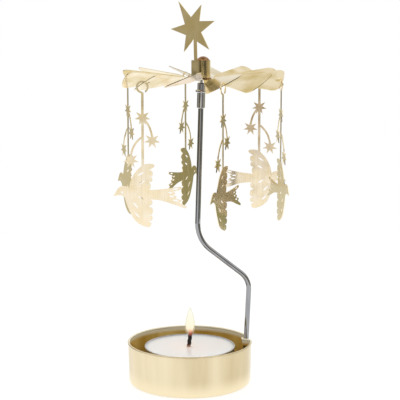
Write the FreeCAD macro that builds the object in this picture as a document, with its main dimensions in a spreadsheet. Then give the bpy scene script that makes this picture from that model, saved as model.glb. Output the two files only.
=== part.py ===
import FreeCAD, Part
import math
import os
import Sketcher

# Rotary tealight carousel: a sheet-metal tray with a tealight, a bent wire stem that stands in a socket
# pressed into the tray's wall, and a bladed rotor that turns on a needle and carries six hanging birds.
# Millimetres. Z is up and the origin is the centre of the tray's underside. The front is -Y.
# "Out" is the distance from the tray's axis towards the socket, in the upright plane that holds the stem.

doc = FreeCAD.newDocument("carousel")
sheet = doc.addObject("Spreadsheet::Sheet", "sizes")

# Driving sizes, lengths in millimetres and angles in degrees
driving_sizes = {
    # Tray
    "tray_rim_radius": 26.2,
    "tray_height": 18.0,
    "tray_sheet": 0.4,
    "tray_taper_angle": 1.2,
    "tray_corner_radius": 2.0,
    "tray_bead_diameter": 0.9,
    # Socket: a strip of the wall, freed by a slit, is pressed in round the wire
    "socket_azimuth_angle": 11.0,
    "socket_strip_height": 3.0,
    "socket_slit": 0.3,
    "socket_mouth_radius": 2.4,
    "socket_clearance": 0.1,
    # Tealight
    "cup_radius": 19.0,
    "cup_height": 15.4,
    "cup_wall": 0.25,
    "cup_corner_chamfer": 0.8,
    "cup_lip": 0.25,
    "cup_seat_gap": 0.1,
    "wax_below_lip": 0.7,
    "wax_gap": 0.05,
    "wax_meniscus": 0.45,
    "pool_radius": 14.5,
    "pool_depth": 0.25,
    "sustainer_radius": 6.5,
    "sustainer_sheet": 0.3,
    "sustainer_neck_wall": 0.4,
    "sustainer_neck_height": 3.0,
    "wick_diameter": 1.5,
    "wick_gap": 0.05,
    "wick_rise": 7.0,
    "wick_bend_radius": 3.5,
    "wick_lean_angle": 11.0,
    # Stem wire
    "wire_diameter": 2.2,
    "foot_wall_gap": 0.45,
    "foot_floor_gap": 0.9,
    "lower_run_lean_angle": 2.6,
    "low_bend_height": 43.6,
    "high_bend_height": 61.6,
    "upper_run_lean_angle": 1.56,
    "low_bend_radius": 9.0,
    "high_bend_radius": 14.0,
    # Ferrule and needle
    "ferrule_height": 117.05,
    "sleeve_diameter": 3.4,
    "sleeve_length": 6.55,
    "flange_diameter": 4.8,
    "flange_thickness": 1.05,
    "neck_diameter": 3.4,
    "neck_length": 2.95,
    "ferrule_chamfer": 0.25,
    "ferrule_wire_depth": 5.5,
    "ferrule_clearance": 0.03,
    "needle_diameter": 1.0,
    "needle_rise": 9.85,
    "needle_socket_depth": 2.5,
    "needle_point_length": 3.0,
    "needle_lean_angle": 4.0,
    "needle_tip_radius": 0.08,
    "needle_tip_clearance": 0.05,
    # Bearing cap
    "rotor_axis_out": 5.75,
    "cap_radius": 2.7,
    "cap_wall": 0.3,
    "cap_crown": 1.0,
    "cap_seat_depth": 0.9,
    "cap_dome_rise": 1.6,
    "cap_body_height": 7.55,
    "cap_flange_radius": 3.5,
    "cap_flange_thickness": 0.4,
    "cap_lip_radius": 3.2,
    "cap_lip_thickness": 0.25,
    "cap_fit_clearance": 0.05,
    # Rotor
    "rotor_radius": 33.7,
    "rotor_sheet": 0.3,
    "blade_count": 12,
    "first_blade_azimuth_angle": -75.1,
    "blade_pitch_angle": 26.6,
    # The last blade, to the left of the front one, was twisted less than the rest and bent up a little
    "last_blade_pitch_angle": 22.0,
    "last_blade_rise_angle": 4.0,
    "hub_radius": 6.2,
    "twist_end_radius": 11.5,
    "blade_slit": 0.35,
    "blade_corner_radius": 2.5,
    "hanging_hole_diameter": 2.5,
    "hanging_strip": 0.7,
    # Star on top
    "star_sheet": 0.3,
    "star_turn_angle": -40.0,
    "collar_wrap_angle": 265.0,
    "tab_length": 3.8,
    "star_stem_width": 1.6,
    "star_stem_foot": 1.57,
    "star_stem_head": 1.97,
    "star_centre_back": 3.35,
    "star_centre_rise": 13.3,
    "star_radius": 11.9,
    # Pendants
    "pendant_sheet": 0.3,
    "ring_inner_radius": 1.8,
    "ring_band": 0.75,
    "ring_gap_angle": 30.0,
    "ring_side_reach": 1.35,
    "ring_out_of_hole": 1.42,
    "ring_rest_clearance": 0.2,
    "pendant_stem_width": 1.0,
    "pendant_branch_width": 0.8,
    "small_star_radius": 3.3,
    "small_star_waist": 1.4,
    "first_star_drop": 12.1,
    "bird_drop": 30.7,
    "bird_length": 29.5,
    "bird_height": 25.8,
    "bird_slit_width": 0.65,
    "bird_eye_radius": 0.45,
}

for row, (name, value) in enumerate(driving_sizes.items(), start=1):
    sheet.set("A%d" % row, name)
    sheet.set("B%d" % row, str(value))
    sheet.setAlias("B%d" % row, name)
doc.recompute()


def size(name):
    return float(sheet.get(name))


nodes = []


def new_body(label):
    body = doc.addObject("PartDesign::Body", label)
    body.Label = label
    nodes.append(body)
    return body


def origin_feature(body, role):
    return next(part for part in body.Origin.OriginFeatures if part.Role == role)


def new_sketch(body, name, role, base=(0, 0, 0), axis=(0, 0, 1), angle=0.0):
    # A sketch on one of the body's own planes, moved by base and turned about axis in that plane's frame
    sketch = body.newObject("Sketcher::SketchObject", name)
    sketch.AttachmentSupport = [(origin_feature(body, role), "")]
    sketch.MapMode = "FlatFace"
    turn = FreeCAD.Rotation(FreeCAD.Vector(*axis), angle)
    sketch.AttachmentOffset = FreeCAD.Placement(FreeCAD.Vector(*base), turn)
    return sketch


def point(x, y):
    return FreeCAD.Vector(x, y, 0)


def polar(radius, degrees):
    return point(radius * math.cos(math.radians(degrees)), radius * math.sin(math.radians(degrees)))


def arc_between(centre, start, end, middle):
    # The arc from start to end round centre that passes middle, always stored counter-clockwise
    angles = [math.atan2(p.y - centre.y, p.x - centre.x) for p in (start, middle, end)]
    turn_middle = (angles[1] - angles[0]) % (2 * math.pi)
    turn_end = (angles[2] - angles[0]) % (2 * math.pi)
    first, last = (angles[0], angles[2]) if turn_middle < turn_end else (angles[2], angles[0])
    if last < first:
        last += 2 * math.pi
    circle = Part.Circle(centre, FreeCAD.Vector(0, 0, 1), (start - centre).Length)
    return Part.ArcOfCircle(circle, first, last)


def arc_through(start, middle, end):
    return arc_between(Part.Circle(start, middle, end).Center, start, end, middle)


def rounded_corner(before, corner, after, radius):
    # Where a rounding of this radius leaves the two sides of a corner, with its middle and centre
    to_before = (before - corner).normalize()
    to_after = (after - corner).normalize()
    half = to_before.getAngle(to_after) / 2
    reach = radius / math.tan(half)
    bisector = (to_before + to_after).normalize()
    centre = corner + bisector * (radius / math.sin(half))
    return corner + to_before * reach, corner + to_after * reach, centre - bisector * radius, centre


def outline(points, closed=True):
    # Edges through the points. The third value of a point is the radius of its corner, or None where
    # the point is the middle of an arc between its two neighbours.
    count = len(points)
    places = [point(x, y) for x, y, rounding in points]
    entries = list(places)
    exits = list(places)
    edges = []
    for i, (x, y, radius) in enumerate(points):
        inside = closed or 0 < i < count - 1
        if radius and inside:
            after = places[(i + 1) % count]
            entries[i], exits[i], middle, centre = rounded_corner(places[i - 1], places[i], after, radius)
            edges.append(arc_between(centre, entries[i], exits[i], middle))
    for i in range(count if closed else count - 1):
        after = (i + 1) % count
        if points[i][2] is None:
            edges.append(arc_through(places[i - 1], places[i], places[after]))
        elif points[after][2] is not None:
            edges.append(Part.LineSegment(exits[i], entries[after]))
    return edges


def draw(sketch, edges):
    for edge in edges:
        sketch.addGeometry(edge, False)


def curved_strip(start, middle, end, width):
    # The outline of a strip of even width along the arc through three points
    centre = Part.Circle(start, middle, end).Center
    radius = (start - centre).Length
    ends = [(p - centre).normalize() for p in (start, middle, end)]
    inner = [centre + d * (radius - width / 2) for d in ends]
    outer = [centre + d * (radius + width / 2) for d in ends]
    return [arc_between(centre, inner[0], inner[2], inner[1]), Part.LineSegment(inner[2], outer[2]),
            arc_between(centre, outer[2], outer[0], outer[1]), Part.LineSegment(outer[0], inner[0])]


def add_circle(sketch, x, y, radius_expression):
    # The circle starts with any radius: its constraint then takes the real one from the sizes
    circle = Part.Circle()
    circle.Center = point(x, y)
    index = sketch.addGeometry(circle, False)
    constraint = sketch.addConstraint(Sketcher.Constraint("Radius", index, circle.Radius))
    sketch.setExpression("Constraints[%d]" % constraint, radius_expression)


def pad(body, sketch, length_expression, both_ways=False):
    feature = body.newObject("PartDesign::Pad", sketch.Name + "_pad")
    feature.Profile = sketch
    feature.SideType = "Symmetric" if both_ways else "One side"
    feature.setExpression("Length", length_expression)
    feature.Refine = True
    sketch.Visibility = False
    return feature


def revolve(body, sketch):
    feature = body.newObject("PartDesign::Revolution", sketch.Name + "_turned")
    feature.Profile = sketch
    feature.ReferenceAxis = (sketch, ["V_Axis"])
    feature.Angle = 360
    return feature


def turned_piece(label, points):
    # A body of revolution about Z: the outline is given as radius and height
    body = new_body(label)
    profile = new_sketch(body, label + "_profile", "XZ_Plane")
    draw(profile, outline(points))
    revolve(body, profile)
    return body


def pipe(body, name, route, lean, diameter_name):
    # A round wire along a route of straight runs and tangent bends in the body's XZ plane
    path = new_sketch(body, name + "_path", "XZ_Plane")
    draw(path, outline(route, closed=False))
    section = new_sketch(body, name + "_section", "XY_Plane", (route[0][0], 0, route[0][1]), (0, 1, 0), lean)
    add_circle(section, 0, 0, "sizes.%s / 2" % diameter_name)
    feature = body.newObject("PartDesign::AdditivePipe", name)
    feature.Profile = section
    doc.recompute()
    feature.Spine = (path, ["Edge%d" % (i + 1) for i in range(path.GeometryCount)])
    return feature


def tangent(name):
    return math.tan(math.radians(size(name)))


# Places worked out from the driving sizes
wire_radius = size("wire_diameter") / 2
floor_top = size("tray_sheet")


def tray_inner_radius(height):
    below_rim = size("tray_height") - height
    return size("tray_rim_radius") - size("tray_sheet") - below_rim * tangent("tray_taper_angle")


foot_height = floor_top + size("foot_floor_gap")
foot_out = tray_inner_radius(foot_height) - wire_radius - size("foot_wall_gap")


def wire_out(height):
    # Where the wire's lower run stands at a height
    return foot_out + (height - foot_height) * tangent("lower_run_lean_angle")


ferrule_top = size("ferrule_height") + size("sleeve_length") + size("flange_thickness") + size("neck_length")
needle_tip_height = ferrule_top + size("needle_rise")
neck_out = size("rotor_axis_out") - size("needle_rise") * tangent("needle_lean_angle")


def upper_run_out(height):
    return neck_out - (ferrule_top - height) * tangent("upper_run_lean_angle")


cap_top = needle_tip_height + size("needle_tip_clearance") + size("cap_crown")
hub_top = cap_top - size("cap_dome_rise") - size("cap_body_height")
hub_middle = hub_top - size("rotor_sheet") / 2
hub_bottom = hub_top - size("rotor_sheet")

to_socket = FreeCAD.Rotation(FreeCAD.Vector(0, 0, 1), size("socket_azimuth_angle"))
rotor_centre = to_socket.multVec(FreeCAD.Vector(size("rotor_axis_out"), 0, 0))


# The socket's strip follows two mouth bends that touch the wall's circle and one bend round the wire
rim_middle = size("tray_rim_radius") - size("tray_sheet") / 2
wire_in_socket = point(wire_out(size("tray_height") - size("socket_strip_height") / 2), 0)
wire_bend = wire_radius + size("socket_clearance") + size("tray_bead_diameter") / 2
mouth_out = rim_middle - size("socket_mouth_radius")


def mouth_angle():
    # Where a mouth bend touches the wall, from the socket's middle, by the law of cosines
    between = size("socket_mouth_radius") + wire_bend
    wire = wire_in_socket.x
    return math.degrees(math.acos((mouth_out**2 + wire**2 - between**2) / (2 * mouth_out * wire)))


def socket_curve(shift):
    # One face of the strip, or its middle line when shift is zero; shift is towards the tray's axis
    mouth = size("socket_mouth_radius") - shift
    edges = []
    joins = []
    for side in (-1, 1):
        centre = polar(mouth_out, side * mouth_angle())
        outward = polar(1, side * mouth_angle())
        inward = (wire_in_socket - centre).normalize()
        middle = (outward + inward).normalize()
        start = centre + outward * mouth
        join = centre + inward * mouth
        edges.append(arc_between(centre, start, join, centre + middle * mouth))
        joins.append((start, join))
    lowest = wire_in_socket - point(wire_bend + shift, 0)
    edges.insert(1, arc_between(wire_in_socket, joins[0][1], joins[1][1], lowest))
    return edges, joins[0][0], joins[1][0]


def make_tray():
    body = new_body("tray")
    sheet_thickness = size("tray_sheet")
    height = size("tray_height")
    bead = size("tray_bead_diameter") / 2
    corner = size("tray_corner_radius")
    slope = tangent("tray_taper_angle")
    top_radius = size("tray_rim_radius")
    base_radius = top_radius - height * slope
    neck = height - bead
    profile = new_sketch(body, "tray_profile", "XZ_Plane")
    bead_join = math.asin(sheet_thickness / 2 / bead)
    join_height = height - bead - bead * math.cos(bead_join)
    draw(profile, outline([
        (0, 0, 0),
        (base_radius, 0, corner),
        (top_radius, join_height, 0),
        (rim_middle, height, None),
        (top_radius - sheet_thickness, join_height, 0),
        (base_radius - sheet_thickness, sheet_thickness, corner - sheet_thickness),
        (0, sheet_thickness, 0),
    ]))
    revolve(body, profile)
    doc.recompute()
    whole = body.Shape.Volume

    # The wall's strip is cut out with its slit, and comes back pressed in round the wire
    slit_bottom = height - size("socket_strip_height") - size("socket_slit")
    opening = new_sketch(body, "socket_opening", "XY_Plane", (0, 0, slit_bottom))
    inner = mouth_out
    outer = rim_middle + size("socket_mouth_radius")
    edge = mouth_angle()
    draw(opening, [
        arc_between(point(0, 0), polar(outer, -edge), polar(outer, edge), point(outer, 0)),
        Part.LineSegment(polar(outer, edge), polar(inner, edge)),
        arc_between(point(0, 0), polar(inner, edge), polar(inner, -edge), point(inner, 0)),
        Part.LineSegment(polar(inner, -edge), polar(outer, -edge)),
    ])
    cut = body.newObject("PartDesign::Pocket", "socket_cut")
    cut.Profile = opening
    cut.Reversed = True
    cut.setExpression("Length", "sizes.socket_strip_height + sizes.socket_slit + sizes.tray_bead_diameter")
    doc.recompute()
    if body.Shape.Volume >= whole:
        raise RuntimeError("the socket opening cut nothing")

    strip = new_sketch(body, "socket_strip", "XY_Plane", (0, 0, height - size("socket_strip_height")))
    near, near_start, near_end = socket_curve(sheet_thickness / 2)
    far, far_start, far_end = socket_curve(-sheet_thickness / 2)
    draw(strip, near + far)
    draw(strip, [Part.LineSegment(near_start, far_start), Part.LineSegment(near_end, far_end)])
    pad(body, strip, "sizes.socket_strip_height - sizes.tray_bead_diameter / 2")

    rail = new_sketch(body, "socket_rail", "XY_Plane", (0, 0, neck))
    line, start, end = socket_curve(0)
    draw(rail, line)
    doc.recompute()
    section = new_sketch(body, "socket_bead_section", "XZ_Plane", (start.x, neck, -start.y), (0, 1, 0), -edge)
    add_circle(section, 0, 0, "sizes.tray_bead_diameter / 2")
    bead_pipe = body.newObject("PartDesign::AdditivePipe", "socket_bead")
    bead_pipe.Profile = section
    bead_pipe.Spine = (rail, ["Edge1", "Edge2", "Edge3"])
    body.Placement = FreeCAD.Placement(FreeCAD.Vector(0, 0, 0), to_socket)


cup_bottom = floor_top + size("cup_seat_gap")
cup_floor = cup_bottom + size("cup_wall")
cup_rim = cup_bottom + size("cup_height")
wax_top = cup_rim - size("wax_below_lip")
neck_radius = size("wick_diameter") / 2 + size("wick_gap") + size("sustainer_neck_wall")
sustainer_top = cup_floor + size("sustainer_sheet")
neck_top = sustainer_top + size("sustainer_neck_height")
wick_bore = size("wick_diameter") / 2 + size("wick_gap")


def make_tealight():
    radius = size("cup_radius")
    inner = radius - size("cup_wall")
    lip = size("cup_lip")
    corner = size("cup_corner_chamfer")
    inner_corner = corner - size("cup_wall")
    turned_piece("tealight_cup", [
        (0, cup_bottom, 0),
        (radius - corner, cup_bottom, 0),
        (radius, cup_bottom + corner, 0),
        (radius, cup_rim - lip, 0),
        (radius + lip, cup_rim - lip, 0),
        (radius + lip, cup_rim - lip / 2, 0),
        (radius + lip / 2, cup_rim, 0),
        (inner, cup_rim, 0),
        (inner, cup_floor + inner_corner, 0),
        (inner - inner_corner, cup_floor, 0),
        (0, cup_floor, 0),
    ])
    gap = size("wax_gap")
    wax_radius = inner - gap
    under_wax = cup_floor + gap
    pool = size("pool_radius")
    pool_floor = wax_top - size("pool_depth")
    meniscus = size("wax_meniscus")
    turned_piece("tealight_wax", [
        (wick_bore, pool_floor, 0),
        (wick_bore, neck_top + gap, 0),
        (neck_radius + gap, neck_top + gap, 0),
        (neck_radius + gap, sustainer_top + gap, 0),
        (size("sustainer_radius") + gap, sustainer_top + gap, 0),
        (size("sustainer_radius") + gap, under_wax, 0),
        (wax_radius - inner_corner, under_wax, 0),
        (wax_radius, under_wax + inner_corner, 0),
        (wax_radius, wax_top + meniscus, 0),
        (wax_radius - meniscus, wax_top, 0),
        (pool, wax_top, 0),
        (pool - size("pool_depth"), pool_floor, 0),
    ])
    turned_piece("wick_sustainer", [
        (wick_bore, cup_floor, 0),
        (size("sustainer_radius"), cup_floor, 0),
        (size("sustainer_radius"), sustainer_top, 0),
        (neck_radius, sustainer_top, 0),
        (neck_radius, neck_top, 0),
        (wick_bore, neck_top, 0),
    ])
    wick = new_body("wick")
    tip_height = wax_top + size("wick_rise")
    pipe(wick, "wick_braid", [
        (0, cup_floor, 0),
        (0, wax_top, size("wick_bend_radius")),
        ((tip_height - wax_top) * tangent("wick_lean_angle"), tip_height, 0),
    ], 0, "wick_diameter")


def make_stem():
    wire_top = size("ferrule_height") + size("ferrule_wire_depth")
    wire = new_body("stem_wire")
    pipe(wire, "bent_wire", [
        (foot_out, foot_height, 0),
        (wire_out(size("low_bend_height")), size("low_bend_height"), size("low_bend_radius")),
        (upper_run_out(size("high_bend_height")), size("high_bend_height"), size("high_bend_radius")),
        (upper_run_out(wire_top), wire_top, 0),
    ], size("lower_run_lean_angle"), "wire_diameter")
    wire.Placement = FreeCAD.Placement(FreeCAD.Vector(0, 0, 0), to_socket)

    # The ferrule is turned about its own axis and then leaned along the upper run
    edge = size("ferrule_chamfer")
    sleeve = size("sleeve_diameter") / 2
    flange = size("flange_diameter") / 2
    neck = size("neck_diameter") / 2
    sleeve_top = size("sleeve_length")
    flange_top = sleeve_top + size("flange_thickness")
    top = flange_top + size("neck_length")
    wire_bore = wire_radius + size("ferrule_clearance")
    wire_depth = size("ferrule_wire_depth") + size("ferrule_clearance")
    # The bore is wide enough for the needle's lean against the ferrule
    depth = size("needle_socket_depth")
    lean_slack = depth * abs(tangent("needle_lean_angle") - tangent("upper_run_lean_angle"))
    needle_bore = size("needle_diameter") / 2 + size("ferrule_clearance") + lean_slack
    ferrule = turned_piece("stem_ferrule", [
        (wire_bore, 0, 0),
        (sleeve - edge, 0, 0),
        (sleeve, edge, 0),
        (sleeve, sleeve_top, 0),
        (flange - edge, sleeve_top, 0),
        (flange, sleeve_top + edge, 0),
        (flange, flange_top - edge, 0),
        (flange - edge, flange_top, 0),
        (neck, flange_top, 0),
        (neck, top - edge, 0),
        (neck - edge, top, 0),
        (needle_bore, top, 0),
        (needle_bore, top - depth, 0),
        (0, top - depth, 0),
        (0, wire_depth, 0),
        (wire_bore, wire_depth, 0),
    ])
    lean = FreeCAD.Rotation(FreeCAD.Vector(0, 1, 0), size("upper_run_lean_angle"))
    foot = to_socket.multVec(FreeCAD.Vector(upper_run_out(size("ferrule_height")), 0, size("ferrule_height")))
    ferrule.Placement = FreeCAD.Placement(foot, to_socket.multiply(lean))

    # The needle is drawn from its point downwards and leans about the point
    length = size("needle_rise") / math.cos(math.radians(size("needle_lean_angle"))) + depth
    radius = size("needle_diameter") / 2
    needle = turned_piece("pivot_needle", [
        (0, -size("needle_tip_radius"), 0),
        (size("needle_tip_radius"), -2 * size("needle_tip_radius"), 0),
        (radius, -size("needle_point_length"), 0),
        (radius, -length + size("ferrule_clearance"), 0),
        (0, -length + size("ferrule_clearance"), 0),
    ])
    tip = rotor_centre + FreeCAD.Vector(0, 0, needle_tip_height + size("needle_tip_radius"))
    lean = FreeCAD.Rotation(FreeCAD.Vector(0, 1, 0), size("needle_lean_angle"))
    needle.Placement = FreeCAD.Placement(tip, to_socket.multiply(lean))


def make_bearing_cap():
    radius = size("cap_radius")
    inner = radius - size("cap_wall")
    shoulder = cap_top - size("cap_dome_rise")
    seat_apex = cap_top - size("cap_crown")
    dome_radius = (radius**2 + size("cap_dome_rise")**2) / (2 * size("cap_dome_rise"))
    half_way = math.asin(radius / dome_radius) / 2
    dome_middle = (dome_radius * math.sin(half_way), cap_top - dome_radius * (1 - math.cos(half_way)))
    flange = size("cap_flange_radius")
    flange_top = hub_top + size("cap_flange_thickness")
    flange_edge = size("cap_flange_thickness") / 3
    lip = size("cap_lip_radius")
    lip_bottom = hub_bottom - size("cap_lip_thickness")
    lip_edge = size("cap_lip_thickness") / 3
    cap = turned_piece("bearing_cap", [
        (0, cap_top, 0),
        (dome_middle[0], dome_middle[1], None),
        (radius, shoulder, 0),
        (radius, flange_top, 0),
        (flange - flange_edge, flange_top, 0),
        (flange, flange_top - flange_edge, 0),
        (flange, hub_top, 0),
        (radius, hub_top, 0),
        (radius, hub_bottom, 0),
        (lip, hub_bottom, 0),
        (lip, lip_bottom + lip_edge, 0),
        (lip - lip_edge, lip_bottom, 0),
        (inner, lip_bottom, 0),
        (inner, seat_apex - size("cap_seat_depth"), 0),
        (0, seat_apex, 0),
    ])
    cap.Placement = FreeCAD.Placement(rotor_centre, FreeCAD.Rotation())


def blade_half_width(radius):
    # Half of the strip between two slits, measured in the flat sheet
    half_angle = math.radians(180 / size("blade_count"))
    return radius * math.tan(half_angle) - size("blade_slit") / 2 / math.cos(half_angle)


def blade_twist(radius, pitch):
    # The sheet stays level at the hub, turns in a smooth curve and reaches its full pitch
    share = (radius - size("hub_radius")) / (size("twist_end_radius") - size("hub_radius"))
    share = min(1, max(0, share))
    return pitch * share**2 * (3 - 2 * share)


twist_station_shares = (-0.06, 0.2, 0.4, 0.6, 0.8, 1.0)


def hole_centre_radius():
    return size("rotor_radius") - size("hanging_strip") - size("hanging_hole_diameter") / 2


def moved(base, axis=(0, 0, 1), angle=0.0):
    return FreeCAD.Placement(FreeCAD.Vector(*base), FreeCAD.Rotation(FreeCAD.Vector(*axis), angle))


def root_line(share, rise):
    # How far out and how high a blade's middle is at a share of its root, and its slope, which grows evenly to rise
    span = size("twist_end_radius") - size("hub_radius")
    if share <= 0 or rise == 0:
        return size("hub_radius") + share * span, 0, 0
    bend_radius = span / math.radians(rise)
    out = size("hub_radius") + bend_radius * math.sin(math.radians(rise * share))
    return out, bend_radius * (1 - math.cos(math.radians(rise * share))), rise * share


def add_blade(body, label, pitch, rise, turn):
    # The twisted root of a blade, lofted through upright sections that turn about the blade's own line
    sections = []
    span = size("twist_end_radius") - size("hub_radius")
    for i, share in enumerate(twist_station_shares):
        radius = size("hub_radius") + share * span
        out, up, slope = root_line(share, rise)
        section = new_sketch(body, "%s_section_%d" % (label, i + 1), "YZ_Plane", angle=blade_twist(radius, pitch))
        place = moved((0, hub_middle + up, out), (1, 0, 0), -slope)
        section.AttachmentOffset = moved((0, 0, 0), (0, 1, 0), turn) * place * section.AttachmentOffset
        half, thick = blade_half_width(radius), size("rotor_sheet") / 2
        draw(section, outline([(-half, -thick, 0), (half, -thick, 0), (half, thick, 0), (-half, thick, 0)]))
        sections.append(section)
    root = body.newObject("PartDesign::AdditiveLoft", "%s_root" % label)
    root.Profile = sections[0]
    root.Sections = [(section, [""]) for section in sections[1:]]
    root.Ruled = False

    # The flat outer part of the blade, a piece of the disc between two slits with rounded corners
    blade = new_sketch(body, "%s_outline" % label, "XY_Plane", axis=(1, 0, 0), angle=pitch)
    start = size("twist_end_radius")
    foot = moved((out, 0, hub_middle + up), (0, 1, 0), -slope) * moved((-start, 0, 0))
    blade.AttachmentOffset = moved((0, 0, 0), (0, 0, 1), turn) * foot * blade.AttachmentOffset
    corner = size("blade_corner_radius")
    disc = size("rotor_radius")
    half_angle = 180 / size("blade_count")
    lean = math.degrees(math.asin((corner + size("blade_slit") / 2) / (disc - corner)))
    corner_angle = half_angle - lean
    corner_centre = polar(disc - corner, corner_angle)
    on_side = corner_centre + polar(corner, half_angle + 90)
    on_rim = polar(disc, corner_angle)
    halfway = corner_centre + polar(corner, (half_angle + 90 + corner_angle) / 2)
    mirrored = [point(p.x, -p.y) for p in (corner_centre, on_side, on_rim, halfway)]
    root_half = blade_half_width(start)
    draw(blade, [
        Part.LineSegment(point(start, -root_half), mirrored[1]),
        arc_between(mirrored[0], mirrored[1], mirrored[2], mirrored[3]),
        arc_between(point(0, 0), mirrored[2], on_rim, point(disc, 0)),
        arc_between(corner_centre, on_rim, on_side, halfway),
        Part.LineSegment(on_side, point(start, root_half)),
        Part.LineSegment(point(start, root_half), point(start, -root_half)),
    ])
    flat = pad(body, blade, "sizes.rotor_sheet", both_ways=True)
    doc.recompute()
    return [root, flat]


def make_rotor():
    body = new_body("rotor")
    hub = new_sketch(body, "hub_disc", "XY_Plane", (0, 0, hub_middle))
    add_circle(hub, 0, 0, "sizes.hub_radius")
    add_circle(hub, 0, 0, "sizes.cap_radius + sizes.cap_fit_clearance")
    pad(body, hub, "sizes.rotor_sheet", both_ways=True)

    # All blades but the last are one pattern, and the last has a pitch of its own
    pitch = size("blade_pitch_angle")
    first_blade = add_blade(body, "blade", pitch, 0, 0)
    blades = body.newObject("PartDesign::PolarPattern", "blades")
    blades.Originals = first_blade
    blades.Axis = (origin_feature(body, "Z_Axis"), [""])
    blades.setExpression("Angle", "360 - 2 * 360 / sizes.blade_count")
    blades.setExpression("Occurrences", "sizes.blade_count - 1")
    body.Tip = blades
    doc.recompute()
    last_pitch, last_rise = size("last_blade_pitch_angle"), size("last_blade_rise_angle")
    add_blade(body, "last_blade", last_pitch, last_rise, -360 / size("blade_count"))
    whole = body.Shape.Volume

    # Every second blade has a hole near its rim for a pendant's ring
    hole = new_sketch(body, "hanging_hole", "XY_Plane", (0, 0, hub_middle), (1, 0, 0), pitch)
    add_circle(hole, hole_centre_radius(), 0, "sizes.hanging_hole_diameter / 2")
    cut = body.newObject("PartDesign::Pocket", "hole_cut")
    cut.Profile = hole
    cut.SideType = "Symmetric"
    cut.setExpression("Length", "4 * sizes.rotor_sheet")
    doc.recompute()
    holes = body.newObject("PartDesign::PolarPattern", "holes")
    holes.Originals = [cut]
    holes.Axis = (origin_feature(body, "Z_Axis"), [""])
    holes.Angle = 360
    holes.setExpression("Occurrences", "sizes.blade_count / 2")
    body.Tip = holes
    doc.recompute()
    if body.Shape.Volume >= whole:
        raise RuntimeError("the hanging holes cut nothing")
    body.Placement = FreeCAD.Placement(
        rotor_centre, FreeCAD.Rotation(FreeCAD.Vector(0, 0, 1), size("first_blade_azimuth_angle")))


# The big star's corners: angle in degrees and share of the star's radius, tips and waists in turn
star_tip_shares = ((125, 1.09), (63, 0.88), (14, 1.03), (-44, 1.06), (-114, 0.93), (-176, 0.99))
star_waist_shares = ((99, 0.36), (36, 0.39), (-21, 0.42), (-82, 0.40), (-137, 0.39), (162, 0.35))


def make_top_star():
    body = new_body("top_star")
    inner = size("cap_radius") + size("cap_fit_clearance")
    outer = inner + size("star_sheet")
    plane_offset = inner + size("star_sheet") / 2
    base = hub_top + size("cap_flange_thickness")
    tab_top = cap_top - size("cap_dome_rise")
    collar = new_sketch(body, "collar_section", "XY_Plane", (0, 0, base))
    ends = (-90, -90 + size("collar_wrap_angle"))
    middle = sum(ends) / 2
    draw(collar, [
        arc_between(point(0, 0), polar(outer, ends[0]), polar(outer, ends[1]), polar(outer, middle)),
        Part.LineSegment(polar(outer, ends[1]), polar(inner, ends[1])),
        arc_between(point(0, 0), polar(inner, ends[0]), polar(inner, ends[1]), polar(inner, middle)),
        Part.LineSegment(polar(inner, ends[0]), polar(outer, ends[0])),
    ])
    pad(body, collar, "sizes.cap_body_height - sizes.cap_flange_thickness")

    centre = (-size("star_centre_back"), tab_top + size("star_centre_rise"))
    half = size("star_stem_width") / 2
    foot, head = size("star_stem_foot"), size("star_stem_head")
    tab = new_sketch(body, "tab_outline", "XZ_Plane", (0, 0, plane_offset))
    draw(tab, outline([
        (0, base, 0),
        (0, tab_top, 0),
        (half - foot, tab_top, 0),
        (half - head, centre[1], 0),
        (-half - head, centre[1], 0),
        (-half - foot, tab_top, 0),
        (-size("tab_length"), tab_top, size("star_sheet")),
        (-size("tab_length"), base, size("star_sheet")),
    ]))
    pad(body, tab, "sizes.star_sheet", both_ways=True)
    star = new_sketch(body, "star_outline", "XZ_Plane", (0, 0, plane_offset))
    corners = []
    for tip, waist in zip(star_tip_shares, star_waist_shares):
        for angle, share in (tip, waist):
            spot = polar(size("star_radius") * share, angle)
            corners.append((centre[0] + spot.x, centre[1] + spot.y, 0))
    draw(star, outline(corners))
    pad(body, star, "sizes.star_sheet", both_ways=True)
    body.Placement = FreeCAD.Placement(
        rotor_centre, FreeCAD.Rotation(FreeCAD.Vector(0, 0, 1), size("star_turn_angle")))


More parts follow.
